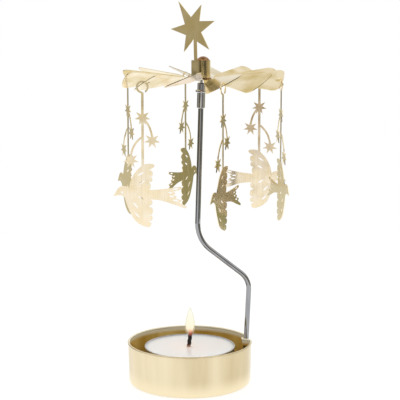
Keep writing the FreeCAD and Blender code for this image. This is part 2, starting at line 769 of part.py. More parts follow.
# Bird outline as shares of its length along x, from the stem's line, and of its height, from its top.
# The third value is a corner radius as a share of the height, or None for the middle of an arc.
bird_outline_shares = (
    (0.010, -0.012, 0), (0.075, 0.000, None), (0.135, -0.004, 0), (0.158, -0.028, None), (0.145, -0.056, 0),
    (0.088, -0.100, 0), (0.134, -0.112, 0.034), (0.134, -0.196, 0.034),
    (0.092, -0.208, 0), (0.129, -0.214, 0.026), (0.129, -0.280, 0.026),
    (0.084, -0.292, 0), (0.108, -0.345, None), (0.088, -0.412, 0),
    (0.200, -0.405, None), (0.320, -0.388, 0), (0.530, -0.352, 0.019), (0.527, -0.392, 0.019),
    (0.400, -0.440, 0), (0.462, -0.448, 0.015), (0.412, -0.490, 0), (0.478, -0.512, 0.015),
    (0.440, -0.545, 0), (0.547, -0.568, 0.015), (0.498, -0.605, 0), (0.598, -0.665, 0.017),
    (0.590, -0.698, 0.017), (0.400, -0.628, 0), (0.255, -0.577, None),
    (0.100, -0.560, 0), (0.132, -0.585, 0.030), (0.122, -0.650, 0.030),
    (0.072, -0.668, 0), (0.134, -0.695, 0.042), (0.134, -0.795, 0.042),
    (0.070, -0.808, 0), (0.132, -0.818, 0.034), (0.132, -0.893, 0.034),
    (0.067, -0.905, 0), (0.114, -0.925, 0.030), (0.108, -0.990, 0.030),
    (0.065, -1.000, 0), (-0.070, -0.935, None), (-0.165, -0.790, 0), (-0.215, -0.665, None),
    (-0.248, -0.540, 0), (-0.275, -0.512, None), (-0.345, -0.502, 0), (-0.407, -0.515, 0),
    (-0.352, -0.410, 0), (-0.262, -0.352, None), (-0.190, -0.388, 0), (-0.118, -0.160, None))
# Leaf-shaped openings: the two ends of each, as shares of length and height
bird_slit_shares = (
    (-0.070, -0.190, 0.015, -0.130), (-0.058, -0.315, 0.030, -0.265),
    (-0.070, -0.510, 0.015, -0.565), (-0.143, -0.605, -0.065, -0.702), (-0.120, -0.768, -0.043, -0.853),
    (0.405, -0.400, 0.495, -0.380), (0.345, -0.446, 0.408, -0.458), (0.360, -0.500, 0.430, -0.515),
    (0.405, -0.562, 0.495, -0.583))
bird_eye_shares = (-0.288, -0.455)
# Stars on the stem and its branches: place as shares of the bird's length and height, from the first star
star_place_shares = ((0.0, 0.0), (0.130, -0.357), (-0.163, -0.667))
# Branches: start, middle and end, as the same shares from the first star
branch_shares = (
    (0.0, 0.0, 0.085, -0.130, 0.130, -0.357),
    (0.0, -0.300, -0.110, -0.430, -0.163, -0.667))
small_star_tips = 7

# Each pendant's blade, counted from the front one, and how far its beak is turned from straight out
pendants = (("bird_pendant_1", 0, -40), ("bird_pendant_2", 2, -61), ("bird_pendant_3", 4, -61),
            ("bird_pendant_4", 6, -42), ("bird_pendant_5", 8, -50), ("bird_pendant_6", 10, -50))


def small_star(x, y):
    corners = []
    for i in range(2 * small_star_tips):
        radius = size("small_star_waist") if i % 2 else size("small_star_radius")
        spot = polar(radius, 90 + i * 180 / small_star_tips)
        corners.append((x + spot.x, y + spot.y, 0))
    return outline(corners)


def leaf(x1, y1, x2, y2):
    start, end = point(x1, y1), point(x2, y2)
    across = point(y1 - y2, x2 - x1).normalize() * (size("bird_slit_width") / 2)
    middle = (start + end) * 0.5
    return [arc_through(start, middle + across, end), arc_through(end, middle - across, start)]


def ring_place(turn):
    # Where a ring's centre hangs, in the frame of its blade: x along the blade, y across it, and z.
    # The ring's inner limb goes through the hole, and its outer limb passes outside the rim.
    along = size("ring_out_of_hole")
    across = -size("ring_side_reach") * math.sin(math.radians(-turn))
    # From the centre towards the hole, the hole's edge comes after this reach
    inward = (-math.cos(math.radians(turn)), math.sin(math.radians(-turn)))
    ahead = along * inward[0] + across * inward[1]
    radius = size("hanging_hole_diameter") / 2
    reach = -ahead - math.sqrt(ahead**2 - (along**2 + across**2 - radius**2))
    rise = tangent("blade_pitch_angle") * inward[1]
    sheet_half = size("rotor_sheet") / 2 / math.cos(math.radians(size("blade_pitch_angle")))
    contact = math.sqrt(size("ring_inner_radius")**2 - reach**2)
    drop = contact - size("ring_rest_clearance") - rise * reach - sheet_half
    x = hole_centre_radius() + along
    z = hub_middle + across * tangent("blade_pitch_angle") - drop
    return FreeCAD.Vector(x, across, z), FreeCAD.Vector(x + reach * inward[0], across, z + contact)


def make_pendant(label, blade, turn):
    body = new_body(label)
    thickness = "sizes.pendant_sheet"
    inner = size("ring_inner_radius")
    outer = inner + size("ring_band")
    length, height = size("bird_length"), size("bird_height")
    gap = -90 + size("ring_gap_angle")
    hook = new_sketch(body, "hook", "XZ_Plane")
    draw(hook, [
        arc_between(point(0, 0), polar(outer, gap), polar(outer, -90), polar(outer, 90)),
        Part.LineSegment(polar(outer, -90), polar(inner, -90)),
        arc_between(point(0, 0), polar(inner, gap), polar(inner, -90), polar(inner, 90)),
        Part.LineSegment(polar(inner, gap), polar(outer, gap)),
    ])
    pad(body, hook, thickness, both_ways=True)

    half = size("pendant_stem_width") / 2
    bird_top = -size("bird_drop")
    first_star = -size("first_star_drop")
    stem = new_sketch(body, "stem", "XZ_Plane")
    stem_top = -(inner + size("ring_band") / 2)
    draw(stem, outline([(-half, stem_top, 0), (half, stem_top, 0), (half, bird_top - half, 0),
                        (-half, bird_top - 2 * half, 0)]))
    pad(body, stem, thickness, both_ways=True)

    stars = new_sketch(body, "stars", "XZ_Plane")
    for x, y in star_place_shares:
        draw(stars, small_star(x * length, first_star + y * height))
    pad(body, stars, thickness, both_ways=True)

    for i, share in enumerate(branch_shares):
        spots = [point(share[j] * length, first_star + share[j + 1] * height) for j in (0, 2, 4)]
        branch = new_sketch(body, "branch_%d" % (i + 1), "XZ_Plane")
        draw(branch, curved_strip(spots[0], spots[1], spots[2], size("pendant_branch_width")))
        pad(body, branch, thickness, both_ways=True)

    bird = new_sketch(body, "bird", "XZ_Plane")
    draw(bird, outline([(x * length, bird_top + y * height, None if r is None else r * height)
                        for x, y, r in bird_outline_shares]))
    for x1, y1, x2, y2 in bird_slit_shares:
        draw(bird, leaf(x1 * length, bird_top + y1 * height, x2 * length, bird_top + y2 * height))
    eye_x, eye_y = bird_eye_shares
    add_circle(bird, eye_x * length, bird_top + eye_y * height, "sizes.bird_eye_radius")
    pad(body, bird, thickness, both_ways=True)

    # The blade's frame, then the turn of the flat bird: its beak points along -X of its own frame
    blade_turn = size("first_blade_azimuth_angle") + blade * 360 / size("blade_count")
    blade_frame = FreeCAD.Placement(rotor_centre, FreeCAD.Rotation(FreeCAD.Vector(0, 0, 1), blade_turn))
    centre, contact = ring_place(turn)
    body.Placement = FreeCAD.Placement(
        blade_frame.multVec(centre), FreeCAD.Rotation(FreeCAD.Vector(0, 0, 1), blade_turn + turn + 180))
    hinge = blade_frame.multVec(contact)
    across = blade_frame.Rotation.multVec(FreeCAD.Vector(0, 1, 0))
    print("hinge of %s: at %.3f %.3f %.3f" % (label, hinge.x, hinge.y, hinge.z))
    print("its axis: %.5f %.5f 0" % (across.x, across.y))


make_tray()
make_tealight()
make_stem()
make_bearing_cap()
make_rotor()
make_top_star()
for pendant in pendants:
    make_pendant(*pendant)
doc.recompute()

lean_out = to_socket.multVec(FreeCAD.Vector(tangent("lower_run_lean_angle"), 0, 1)).normalize()
print("rotor axis: at %.3f %.3f" % (rotor_centre.x, rotor_centre.y))
print("needle tip height: %.3f" % needle_tip_height)
print("stem slide direction: %.5f %.5f %.5f" % (lean_out.x, lean_out.y, lean_out.z))

for item in doc.Objects:
    if "Invalid" in item.State or "Error" in item.State:
        raise RuntimeError("%s failed: %s" % (item.Name, item.State))
os.makedirs("parts", exist_ok=True)
for body in nodes:
    shape = body.Shape
    if shape.isNull() or not shape.isValid():
        raise RuntimeError("%s has no valid shape" % body.Label)
for body in nodes:
    body.Shape.exportStep("parts/%s.step" % body.Label)
    print("%s: %d solid, %.2f cubic mm" % (body.Label, len(body.Shape.Solids), body.Shape.Volume))
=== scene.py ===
import bpy
import numpy as np
from math import radians
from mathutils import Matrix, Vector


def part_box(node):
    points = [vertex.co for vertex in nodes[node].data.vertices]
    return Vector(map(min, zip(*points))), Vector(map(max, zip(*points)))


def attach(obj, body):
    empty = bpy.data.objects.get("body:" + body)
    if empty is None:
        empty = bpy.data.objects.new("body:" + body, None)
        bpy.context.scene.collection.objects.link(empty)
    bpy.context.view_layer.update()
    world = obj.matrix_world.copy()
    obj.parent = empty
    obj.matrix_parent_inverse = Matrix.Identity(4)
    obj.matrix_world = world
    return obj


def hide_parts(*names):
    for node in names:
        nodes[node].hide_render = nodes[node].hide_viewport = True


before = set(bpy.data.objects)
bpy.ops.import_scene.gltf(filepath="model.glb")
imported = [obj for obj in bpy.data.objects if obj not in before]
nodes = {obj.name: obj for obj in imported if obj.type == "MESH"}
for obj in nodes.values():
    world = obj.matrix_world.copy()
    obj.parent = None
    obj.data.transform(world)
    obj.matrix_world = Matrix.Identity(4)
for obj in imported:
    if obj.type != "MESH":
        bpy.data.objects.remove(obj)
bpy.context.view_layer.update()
mm = 0.001
colourA, colourB, colourOut = 6, 7, 2      # the sockets that a Mix node uses when it mixes colours
print("stage: packed model loaded,", len(nodes), "nodes")


def fromHex(text):
    # sRGB hex to Blender's linear colour: the dark end is a straight line, the rest a power of 2.4
    parts = np.array([int(text[i:i + 2], 16) for i in (1, 3, 5)]) / 255
    linear = np.where(parts <= 0.04045, parts / 12.92, ((parts + 0.055) / 1.055) ** 2.4)
    return (*linear.tolist(), 1.0)


def putNode(tree, kind, values=None, feeds=None, **settings):
    # one node: settings are its own options, values fill sockets, feeds join other nodes' outputs to sockets
    node = tree.nodes.new(kind)
    for name, value in settings.items():
        setattr(node, name, value)
    for socket, value in (values or {}).items():
        node.inputs[socket].default_value = value
    for socket, (source, output) in (feeds or {}).items():
        tree.links.new(source.outputs[output], node.inputs[socket])
    return node


def fillRamp(node, stops):
    # puts (position, hex) stops on a colour ramp, first and last included
    ramp = node.color_ramp
    while len(ramp.elements) < len(stops):
        ramp.elements.new(0.5)
    for element, (place, colour) in zip(ramp.elements, stops):
        element.position = place
        element.color = fromHex(colour)


def startMaterial(name):
    # an empty material with its output and its object coordinates
    material = bpy.data.materials.new(name)
    material.use_nodes = True
    material.node_tree.nodes.clear()
    tree = material.node_tree
    return material, tree, putNode(tree, "ShaderNodeOutputMaterial"), putNode(tree, "ShaderNodeTexCoord")


def surfaceObject(name, points, faces, material, smooth=True):
    # a mesh object at the origin from plain arrays of points (metres) and faces
    mesh = bpy.data.meshes.new(name)
    mesh.from_pydata(points.tolist(), [], [list(face) for face in faces])
    mesh.validate()
    mesh.polygons.foreach_set("use_smooth", [smooth] * len(mesh.polygons))
    mesh.materials.append(material)
    piece = bpy.data.objects.new(name, mesh)
    bpy.context.scene.collection.objects.link(piece)
    return piece


def closedGrid(rings, around):
    # faces for rings of points joined row by row, with one point at each end:
    # the point of ring i at step j has the number 1 + i * around + j
    i, j = np.meshgrid(np.arange(rings - 1), np.arange(around), indexing="ij")
    low = 1 + i * around + j
    lowNext = 1 + i * around + (j + 1) % around
    quads = np.stack([low, lowNext, lowNext + around, low + around], axis=-1).reshape(-1, 4).tolist()
    steps = np.arange(around)
    last = 1 + (rings - 1) * around
    foot = np.stack([np.zeros(around, int), 1 + (steps + 1) % around, 1 + steps], axis=-1).tolist()
    head = np.stack([np.full(around, last + around), last + steps, last + (steps + 1) % around], axis=-1).tolist()
    return quads + foot + head


studio = {
    "cameraPlace": (4.35 * mm, -553.8 * mm, 168.2 * mm),
    "cameraPitch": 9.19,            # degrees below the horizon
    "lens": 120.59,                 # mm, on a sensor of this width
    "sensorWidth": 36,
    "floorRadius": 0.36,            # metres
    "floorDrop": 0.02 * mm,         # it lies a hair under the tray
    "floorColour": "#828280",
    "floorGlow": 0.8,               # a light table: its opal board is mostly lit from below
    "floorGrainMm": 2.5,
    "sunStrength": 1.1,
    "sunWidth": 60,                 # degrees across, as a large softbox is
    "sunTilt": (4, -4),             # degrees about X and Y
    "backdrop": "#FFFFFF",
    # what polished metal mirrors, in layers from the far floor up to the unlit ceiling
    "farFloor": "#FBEFE3",
    "zenith": "#9A8D7E",
    # each layer takes the place of the one below between these heights, in degrees above the horizon
    "layers": [("lowBand", -13, -10.5), ("stemBand", -7.3, -6.0), ("levelBand", -4.15, -3.85),
               ("highBand", 10, 28), ("zenith", 62, 80)],
    # a band's colours by degrees round from -180 to 180, where -90 is the camera's side
    "lowBand": [
        (-180, "#5A5954"), (-171, "#3A3936"), (-163, "#77746C"), (-150, "#D2D0C8"), (-138, "#FFFFFF"),
        (-92, "#FFFFFF"), (-78, "#9A9890"), (-49, "#77756E"), (-16, "#96938A"), (10, "#A3A480"),
        (27, "#8E8C60"), (35, "#8E8964"), (41, "#807F50"), (49, "#807F50"), (60, "#8A887F"),
        (95, "#E6E4DE"), (117, "#D2CFBC"), (141, "#C2BEA4"), (156, "#7A776C"), (180, "#5A5954")],
    "stemBand": [
        (-180, "#4E4E4D"), (-171, "#4E4E4D"), (-155, "#7C7B79"), (-135, "#968C70"), (-121, "#8A6A1E"),
        (-114, "#A68A40"), (-101, "#CFC596"), (-97, "#FFFFFF"), (-86, "#FFFFFF"), (-78, "#A8A7A4"),
        (-70, "#8A8985"), (-49, "#6E6D6A"), (-16, "#9C9A94"), (26, "#A09C84"), (35, "#928F74"),
        (44, "#A09D82"), (60, "#BDB9A8"), (100, "#D8D4C4"), (120, "#B8B5A4"), (138, "#B8B49E"),
        (152, "#5E5C56"), (180, "#4E4E4D")],
    "levelBand": [
        (-180, "#A8A498"), (-172, "#B9B4A6"), (-158, "#8A867E"), (-146, "#57544F"), (-130, "#37342F"),
        (-116, "#8B867C"), (-106, "#9A968E"), (-98, "#3A3733"), (-70, "#5C5954"), (-51, "#4A4742"),
        (-36, "#9A9384"), (4, "#B5AE9C"), (31, "#CFCABB"), (60, "#F2F1EE"), (110, "#F6F5F2"),
        (138, "#6E6B66"), (150, "#37342F"), (166, "#5E5A53"), (180, "#A8A498")],
    "highBand": [
        (-180, "#E9E6DE"), (-100, "#FFFFFF"), (-30, "#FFFEFA"), (60, "#F6F2E8"), (120, "#EFEADC"),
        (180, "#E9E6DE")],
}


def buildWorld(look):
    # white where the camera looks at it, and elsewhere a studio in layers from the far floor to the ceiling:
    # a layer is one colour or goes round with the azimuth, and takes over from the last one by a smooth step
    world = bpy.data.worlds.new("paleStudio")
    bpy.context.scene.world = world
    world.use_nodes = True
    tree = world.node_tree
    tree.nodes.clear()
    out = putNode(tree, "ShaderNodeOutputWorld")
    coords = putNode(tree, "ShaderNodeTexCoord")
    way = putNode(tree, "ShaderNodeSeparateXYZ", feeds={"Vector": (coords, "Generated")})
    azimuth = putNode(tree, "ShaderNodeMath", operation="ARCTAN2", feeds={0: (way, "Y"), 1: (way, "X")})
    share = putNode(tree, "ShaderNodeMapRange", {"From Min": -np.pi, "From Max": np.pi},
                    {"Value": (azimuth, "Value")})
    height = putNode(tree, "ShaderNodeMath", operation="ARCSINE", feeds={0: (way, "Z")})
    room = None
    for key, start, end in look["layers"]:
        reach = putNode(tree, "ShaderNodeMapRange", {"From Min": radians(start), "From Max": radians(end)},
                        {"Value": (height, "Value")}, interpolation_type="SMOOTHSTEP")
        values, feeds = {}, {0: (reach, "Result")}
        if room:
            feeds[colourA] = (room, colourOut)
        else:
            values[colourA] = fromHex(look["farFloor"])
        if key == "zenith":
            values[colourB] = fromHex(look[key])
        else:
            band = putNode(tree, "ShaderNodeValToRGB", feeds={"Fac": (share, "Result")})
            fillRamp(band, [((degrees + 180) / 360, colour) for degrees, colour in look[key]])
            feeds[colourB] = (band, "Color")
        room = putNode(tree, "ShaderNodeMix", values, feeds, data_type="RGBA")
    seen = putNode(tree, "ShaderNodeLightPath")
    plain = putNode(tree, "ShaderNodeBackground", {"Color": fromHex(look["backdrop"])})
    mirrored = putNode(tree, "ShaderNodeBackground", feeds={"Color": (room, colourOut)})
    both = putNode(tree, "ShaderNodeMixShader", feeds={0: (seen, "Is Camera Ray"), 1: (mirrored, 0), 2: (plain, 0)})
    tree.links.new(both.outputs[0], out.inputs["Surface"])


def buildFloor(look):
    # a flat disc: ring i of 24 has radius floorRadius * i / 24, and the rings are joined round a middle point
    rings, around, drop = 24, 96, look["floorDrop"]
    share, angle = np.meshgrid(
        np.arange(1, rings + 1) / rings, np.arange(around) * 2 * np.pi / around, indexing="ij")
    radius = look["floorRadius"] * share
    flat = np.stack([radius * np.cos(angle), radius * np.sin(angle), np.full(radius.shape, -drop)], axis=-1)
    points = np.concatenate([[[0, 0, -drop]], flat.reshape(-1, 3)])
    i, j = np.meshgrid(np.arange(rings - 1), np.arange(around), indexing="ij")
    low, lowNext = 1 + i * around + j, 1 + i * around + (j + 1) % around
    quads = np.stack([low, low + around, lowNext + around, lowNext], axis=-1).reshape(-1, 4).tolist()
    steps = np.arange(around)
    middle = np.stack([np.zeros(around, int), 1 + steps, 1 + (steps + 1) % around], axis=-1).tolist()
    # opal acrylic board, sanded: matt white and lit from below, with a faint unevenness
    material, tree, out, coords = startMaterial("opalLightTable")
    grain = putNode(tree, "ShaderNodeTexNoise", {"Scale": 1000 / look["floorGrainMm"], "Detail": 3.0},
                    {"Vector": (coords, "Object")})
    relief = putNode(tree, "ShaderNodeBump", {"Strength": 0.08, "Distance": 0.1 * mm}, {"Height": (grain, "Fac")})
    board = putNode(tree, "ShaderNodeBsdfPrincipled",
                    {"Base Color": fromHex(look["floorColour"]), "Roughness": 0.7,
                     "Emission Color": fromHex("#FFFFFF"), "Emission Strength": look["floorGlow"]},
                    {"Normal": (relief, "Normal")})
    tree.links.new(board.outputs[0], out.inputs["Surface"])
    surfaceObject("floorBoard", points, quads + middle, material, smooth=False)


def buildCamera(look):
    data = bpy.data.cameras.new("photoCamera")
    data.lens = look["lens"]
    data.sensor_width = look["sensorWidth"]
    camera = bpy.data.objects.new("photoCamera", data)
    camera.location = look["cameraPlace"]
    camera.rotation_euler = (radians(90 - look["cameraPitch"]), 0, 0)
    bpy.context.scene.collection.objects.link(camera)
    bpy.context.scene.camera = camera


def buildLights(look):
    sun = bpy.data.lights.new("overheadSoftbox", "SUN")
    sun.energy = look["sunStrength"]
    sun.angle = radians(look["sunWidth"])
    lamp = bpy.data.objects.new("overheadSoftbox", sun)
    lamp.rotation_euler = (*(radians(tilt) for tilt in look["sunTilt"]), 0)
    lamp.visible_glossy = False      # the metals mirror the studio's bands, not the lamp
    bpy.context.scene.collection.objects.link(lamp)


bpy.context.scene.view_settings.view_transform = "Standard"
buildWorld(studio)
buildFloor(studio)
buildCamera(studio)
buildLights(studio)
print("stage: studio, floor and camera ready")


plating = {                          # what all the metals share
    "cloudEdges": (0.34, 0.66),      # where the cloudy noise turns from the deeper tone to the base tone
    "grainEdges": (0.3, 0.7),        # where the lines' noise is taken as fully smooth and fully rough
    "grainSpread": (0.75, 1.35),     # the roughness there, times the metal's own
    "waveDepth": 0.1,                # of the waves' length
    "grainDepthMm": 0.03,
}

metals = {
    # brass-plated steel, drawn to a cup: streaks run up the wall, 0.8 mm apart and long. Its tall clouds, deeper
    # and paler, are random plating tone and also painted reflection: upright lighter and darker bands standing in
    # for the floor mirrored in the wall
    "pressedTrayBrass": dict(
        baseHex="#EEE0C0", deepHex="#CFBE98", cloudMm=(17, 17, 120), grainMm=(0.8, 0.8, 30),
        roughness=0.2, waveMm=11, waveStrength=0.10, grainStrength=0.02),
    # a flat wheel, stamped and its blades bent: rolling lines along X, 0.35 mm apart
    "stampedRotorBrass": dict(
        baseHex="#F6EAD0", deepHex="#D5C084", cloudMm=(9, 9, 9), grainMm=(18, 0.35, 18),
        roughness=0.13, waveMm=9, waveStrength=0.14, grainStrength=0.08),
    # stamped from the same sheet and polished: deeper in tone, with lines up it 0.4 mm apart
    "stampedStarBrass": dict(
        baseHex="#F0DFB2", deepHex="#E6D29A", cloudMm=(5, 5, 5), grainMm=(0.4, 0.4, 14),
        roughness=0.09, waveMm=7, waveStrength=0.08, grainStrength=0.05),
    # etched from thin sheet, so nearly flat and even: faint lines down each bird, 0.35 mm apart
    "etchedPendantBrass": dict(
        baseHex="#FFF4DE", deepHex="#FDECC8", cloudMm=(6, 6, 6), grainMm=(0.35, 0.35, 12),
        roughness=0.14, waveMm=8, waveStrength=0.10, grainStrength=0.03),
    # turned brass, warmer than the sheet: rings round the axis, 0.25 mm apart
    "turnedCapBrass": dict(
        baseHex="#AE8A64", deepHex="#8A5E42", cloudMm=(2, 2, 2), grainMm=(12, 12, 0.25),
        roughness=0.10, waveMm=3, waveStrength=0.03, grainStrength=0.03),
    # drawn wire with bright nickel-chrome plating: faint lines along it
    "chromedWire": dict(
        baseHex="#A6A7AB", deepHex="#97989C", cloudMm=(3, 3, 20), grainMm=(0.3, 0.3, 25),
        roughness=0.06, waveMm=5, waveStrength=0.03, grainStrength=0.05),
    # turned steel, polished: paler than the wire, with rings 0.2 mm apart
    "turnedFerruleSteel": dict(
        baseHex="#DCDDDF", deepHex="#CFD0D2", cloudMm=(2, 2, 2), grainMm=(10, 10, 0.2),
        roughness=0.05, waveMm=3, waveStrength=0.01, grainStrength=0.02),
    # ground steel: grey and satin, with rings 0.15 mm apart
    "groundNeedleSteel": dict(
        baseHex="#C9CACC", deepHex="#9FA0A4", cloudMm=(1, 1, 1), grainMm=(6, 6, 0.15),
        roughness=0.22, waveMm=2, waveStrength=0.04, grainStrength=0.3),
    # tinned steel strip: dull, with rolling lines along X, 0.2 mm apart
    "tinnedSustainerSteel": dict(
        baseHex="#C6C5C0", deepHex="#A9A8A4", cloudMm=(1.5, 1.5, 1.5), grainMm=(5, 0.2, 5),
        roughness=0.3, waveMm=2, waveStrength=0.1, grainStrength=0.25),
    # aluminium foil, drawn: soft and pale, with upright flutes from the draw, 1.1 mm apart
    "drawnAluminiumFoil": dict(
        baseHex="#D2D3D6", deepHex="#C2C3C6", cloudMm=(3, 3, 12), grainMm=(1.1, 1.1, 20),
        roughness=0.36, waveMm=5, waveStrength=0.1, grainStrength=0.4),
}

trayInside = {
    "facing": (-0.3, 0.3),           # from the faces that look towards the axis to those that look away
    "insideShadeHex": "#DDB24A",         # satin gold inside, deeper than the outside's plating: painted shade, the warm darkening of light reflected round inside the cup
    "insideHighlightHex": "#FFE48E",            # paler gold where the cloudy noise is high: painted highlights in scattered patches
    "insideHighlightEdges": (0.38, 0.6),     # where the cloudy noise turns from the first to the second
    "lacquerMetallic": 0.4,
    "lacquerRoughness": 0.32,
    "rimReflectionMm": (15.0, 16.8),           # towards the rim it turns paler and less metallic between these heights: a painted reflection, standing in for the sky mirrored in the rolled rim
    "rimReflectionHex": "#F8F3DC",
    "rimReflectionMetallic": 0.08,
    "floorReflectionMm": (8.0, 0.6),            # the outside is paler from here down to here: a painted reflection of the bright floor, which also covers the contact shadow mirrored there
    "floorReflectionHex": "#F8E9C6",
}


def lacquerAndPaintedShade(tree, coords, cloud, tone, outsideRoughness, look):
    # the tray's two sides: faces that look towards the axis have a satin gold lacquer, its deeper colour painted
    # shade with paler painted highlights and a painted reflection towards the rim; the others the plating, with a
    # painted floor reflection at its foot.
    # facing = normal . (x, y, 0) / distance from the axis
    level = putNode(tree, "ShaderNodeVectorMath", {1: (1, 1, 0)}, {0: (coords, "Object")}, operation="MULTIPLY")
    away = putNode(tree, "ShaderNodeVectorMath", feeds={0: (level, "Vector")}, operation="NORMALIZE")
    facing = putNode(tree, "ShaderNodeVectorMath", feeds={0: (away, "Vector"), 1: (coords, "Normal")},
                     operation="DOT_PRODUCT")
    outside = putNode(tree, "ShaderNodeMapRange", {"From Min": look["facing"][0], "From Max": look["facing"][1]},
                      {"Value": (facing, "Value")}, interpolation_type="SMOOTHSTEP")
    place = putNode(tree, "ShaderNodeSeparateXYZ", feeds={"Vector": (coords, "Object")})
    rimReflection, foot = (
        putNode(tree, "ShaderNodeMapRange", {"From Min": look[key][0] * mm, "From Max": look[key][1] * mm},
                {"Value": (place, "Z")}, interpolation_type="SMOOTHSTEP")
        for key in ("rimReflectionMm", "floorReflectionMm"))
    # the inside's colour: a deeper gold that is painted shade, with paler cloudy patches that are painted
    # highlights
    lacquer = putNode(tree, "ShaderNodeValToRGB", feeds={"Fac": (cloud, "Fac")})
    fillRamp(lacquer, list(zip(look["insideHighlightEdges"], (look["insideShadeHex"], look["insideHighlightHex"]))))
    # towards the rim the inside turns pale: painted reflection of the sky in the rolled rim
    insideShadeAndSheen = putNode(tree, "ShaderNodeMix", {colourB: fromHex(look["rimReflectionHex"])},
                         {0: (rimReflection, "Result"), colourA: (lacquer, "Color")}, data_type="RGBA")
    # the outside turns paler towards its foot: painted reflection of the bright floor
    outsideToneAndSheen = putNode(tree, "ShaderNodeMix", {colourB: fromHex(look["floorReflectionHex"])},
                          {0: (foot, "Result"), colourA: (tone, "Color")}, data_type="RGBA")
    bothTones = putNode(tree, "ShaderNodeMix", data_type="RGBA", feeds={
        0: (outside, "Result"), colourA: (insideShadeAndSheen, colourOut), colourB: (outsideToneAndSheen, colourOut)})
    insideMetallic = putNode(
        tree, "ShaderNodeMapRange", {"To Min": look["lacquerMetallic"], "To Max": look["rimReflectionMetallic"]},
        {"Value": (rimReflection, "Result")})
    metallic = putNode(tree, "ShaderNodeMapRange", {"To Max": 1.0},
                       {"Value": (outside, "Result"), "To Min": (insideMetallic, "Result")})
    satin = putNode(tree, "ShaderNodeMapRange", {"To Min": look["lacquerRoughness"], "To Max": outsideRoughness},
                    {"Value": (outside, "Result")})
    return {"Base Color": (bothTones, colourOut), "Metallic": (metallic, "Result"), "Roughness": (satin, "Result")}


def platedSheet(name, look, place=(0, 0, 0), turn=(0, 0, 0), inside=None):
    # Metal that is rolled, drawn or turned and left bright: a mirror that is softened along its lines, with
    # cloudy plating in two tones and shallow waves left by the press or the tool.
    material, tree, out, coords = startMaterial(name)
    own = putNode(tree, "ShaderNodeMapping", {"Location": place, "Rotation": turn}, {"Vector": (coords, "Object")},
                  vector_type="TEXTURE")
    drift = putNode(tree, "ShaderNodeMapping", {"Scale": [1000 / size for size in look["cloudMm"]]},
                    {"Vector": (own, "Vector")})
    cloud = putNode(tree, "ShaderNodeTexNoise", {"Scale": 1.0, "Detail": 3.0, "Roughness": 0.5},
                    {"Vector": (drift, "Vector")})
    tone = putNode(tree, "ShaderNodeValToRGB", feeds={"Fac": (cloud, "Fac")})
    fillRamp(tone, list(zip(plating["cloudEdges"], (look["deepHex"], look["baseHex"]))))
    along = putNode(tree, "ShaderNodeMapping", {"Scale": [1000 / size for size in look["grainMm"]]},
                    {"Vector": (own, "Vector")})
    grain = putNode(tree, "ShaderNodeTexNoise", {"Scale": 1.0, "Detail": 3.0, "Roughness": 0.6},
                    {"Vector": (along, "Vector")})
    wave = putNode(tree, "ShaderNodeTexNoise", {"Scale": 1000 / look["waveMm"], "Detail": 1.0},
                   {"Vector": (own, "Vector")})
    swell = putNode(tree, "ShaderNodeBump",
                    {"Strength": look["waveStrength"], "Distance": look["waveMm"] * mm * plating["waveDepth"]},
                    {"Height": (wave, "Fac")})
    relief = putNode(tree, "ShaderNodeBump",
                     {"Strength": look["grainStrength"], "Distance": plating["grainDepthMm"] * mm},
                     {"Height": (grain, "Fac"), "Normal": (swell, "Normal")})
    values, feeds = {}, {"Normal": (relief, "Normal")}
    if inside:
        feeds.update(lacquerAndPaintedShade(tree, coords, cloud, tone, look["roughness"], inside))
    else:
        smoothest, roughest = (look["roughness"] * part for part in plating["grainSpread"])
        lines = putNode(tree, "ShaderNodeMapRange",
                        {"From Min": plating["grainEdges"][0], "From Max": plating["grainEdges"][1],
                         "To Min": smoothest, "To Max": roughest}, {"Value": (grain, "Fac")})
        values["Metallic"] = 1.0
        feeds.update({"Base Color": (tone, "Color"), "Roughness": (lines, "Result")})
    metal = putNode(tree, "ShaderNodeBsdfPrincipled", values, feeds)
    tree.links.new(metal.outputs[0], out.inputs["Surface"])
    return material


finishes = {
    "tray": "pressedTrayBrass", "rotor": "stampedRotorBrass", "top_star": "stampedStarBrass",
    "bearing_cap": "turnedCapBrass", "stem_wire": "chromedWire", "stem_ferrule": "turnedFerruleSteel",
    "pivot_needle": "groundNeedleSteel", "wick_sustainer": "tinnedSustainerSteel",
    "tealight_cup": "drawnAluminiumFoil",
}
# for the tray, this place sets where its tall deeper and paler clouds fall, and with them the painted reflection
# bands in its wall
places = {"tray": (30 * mm, 30 * mm, 0), "rotor": (15 * mm, 15 * mm, 0)}      # where the plating's clouds fall
for node, metal in finishes.items():
    nodes[node].material_slots[0].material = platedSheet(
        metal, metals[metal], places.get(node, (0, 0, 0)), inside=trayInside if node == "tray" else None)

# each pendant's pattern lies in its own plane: it starts at the middle of its box, and turns about Z in degrees
pendantTurns = {1: 64.9, 2: 103.9, 3: 163.9, 4: 242.9, 5: 294.9, 6: 354.9}
for number, turn in pendantTurns.items():
    name = "bird_pendant_%d" % number
    low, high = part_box(name)
    middle = tuple((a + b) / 2 for a, b in zip(low, high))
    nodes[name].material_slots[0].material = platedSheet(
        "etchedPendantBrass%d" % number, metals["etchedPendantBrass"], middle, (0, 0, radians(turn)))
print("stage: metals on", len(finishes) + len(pendantTurns), "nodes")


